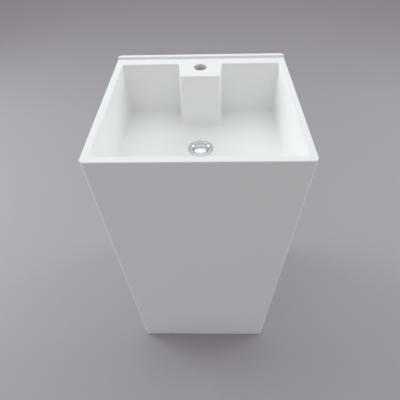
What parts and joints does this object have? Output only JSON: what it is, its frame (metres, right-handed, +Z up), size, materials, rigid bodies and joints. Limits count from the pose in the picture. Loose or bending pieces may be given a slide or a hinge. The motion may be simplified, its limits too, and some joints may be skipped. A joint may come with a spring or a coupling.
{
  "type": "pedestal sink",
  "caption": "Square free-standing pedestal sink in white solid surface, with a basin, a tap block with an open tap hole, a click waste and a bottle trap.",
  "frame": {"origin": "on the floor, under the middle of the square body", "axes": "+Z up, +Y towards the wall behind, +X to the right of a person who stands at the front"},
  "size_m": [0.45, 0.45, 0.806],
  "materials": {
    "solid_surface": "matt sanded solid surface",
    "chrome": "polished chrome plate on brass",
    "brass": "turned, unplated",
    "steel": "zinc plated",
    "spring_steel": "stainless wire",
    "seal_rubber": "matt moulded",
    "foot_rubber": "matt pad",
    "white_plastic": "moulded polypropylene",
    "grey_plastic": "moulded acetal"
  },
  "bodies": {
    "body": {"front_panel": "solid_surface", "back_panel": "solid_surface", "left_panel": "solid_surface", "right_panel": "solid_surface", "basin_floor": "solid_surface", "basin_rear_wall": "solid_surface", "tap_block": "solid_surface", "tap_ledge": "solid_surface", "left_deck": "solid_surface", "right_deck": "solid_surface", "back_lip": "solid_surface", "front_bearer": "solid_surface", "back_bearer": "solid_surface", "left_bearer": "solid_surface", "right_bearer": "solid_surface", "front_base_rail": "solid_surface", "back_base_rail": "solid_surface", "left_base_rail": "solid_surface", "right_base_rail": "solid_surface", "left_floor_bracket": "steel", "left_bracket_screw_front": "steel", "left_bracket_screw_back": "steel", "foot_pad_front_left": "foot_rubber", "foot_pad_back_left": "foot_rubber", "right_floor_bracket": "steel", "right_bracket_screw_front": "steel", "right_bracket_screw_back": "steel", "foot_pad_front_right": "foot_rubber", "foot_pad_back_right": "foot_rubber", "waste_body": "chrome", "waste_gasket": "seal_rubber", "lower_washer": "seal_rubber", "friction_washer": "grey_plastic", "waste_nut": "brass", "click_cartridge": "grey_plastic", "plug_spring": "spring_steel", "trap_inlet_nut": "white_plastic", "trap_inlet_washer": "seal_rubber", "trap_inlet_tube": "white_plastic", "trap_top_nut": "white_plastic", "trap_top_washer": "seal_rubber", "trap_body": "white_plastic", "trap_outlet_nut": "white_plastic", "trap_outlet_washer": "seal_rubber", "outlet_pipe": "white_plastic"},
    "plug": {"plug_cap": "chrome", "plug_seal": "seal_rubber", "plug_stem": "brass"},
    "trap_cup": {"trap_cup": "white_plastic", "trap_cup_seal": "seal_rubber"}
  },
  "joints": [
    {"name": "plug_press", "type": "slide", "parent": "body", "child": "plug", "axis": [0, 0, 1], "range_m": [0, 0.009], "deforming": ["plug_spring"]},
    {"name": "trap_cup_off", "type": "slide", "parent": "body", "child": "trap_cup", "axis": [0, 0, -1], "range_m": [0, 0.06]}
  ]
}
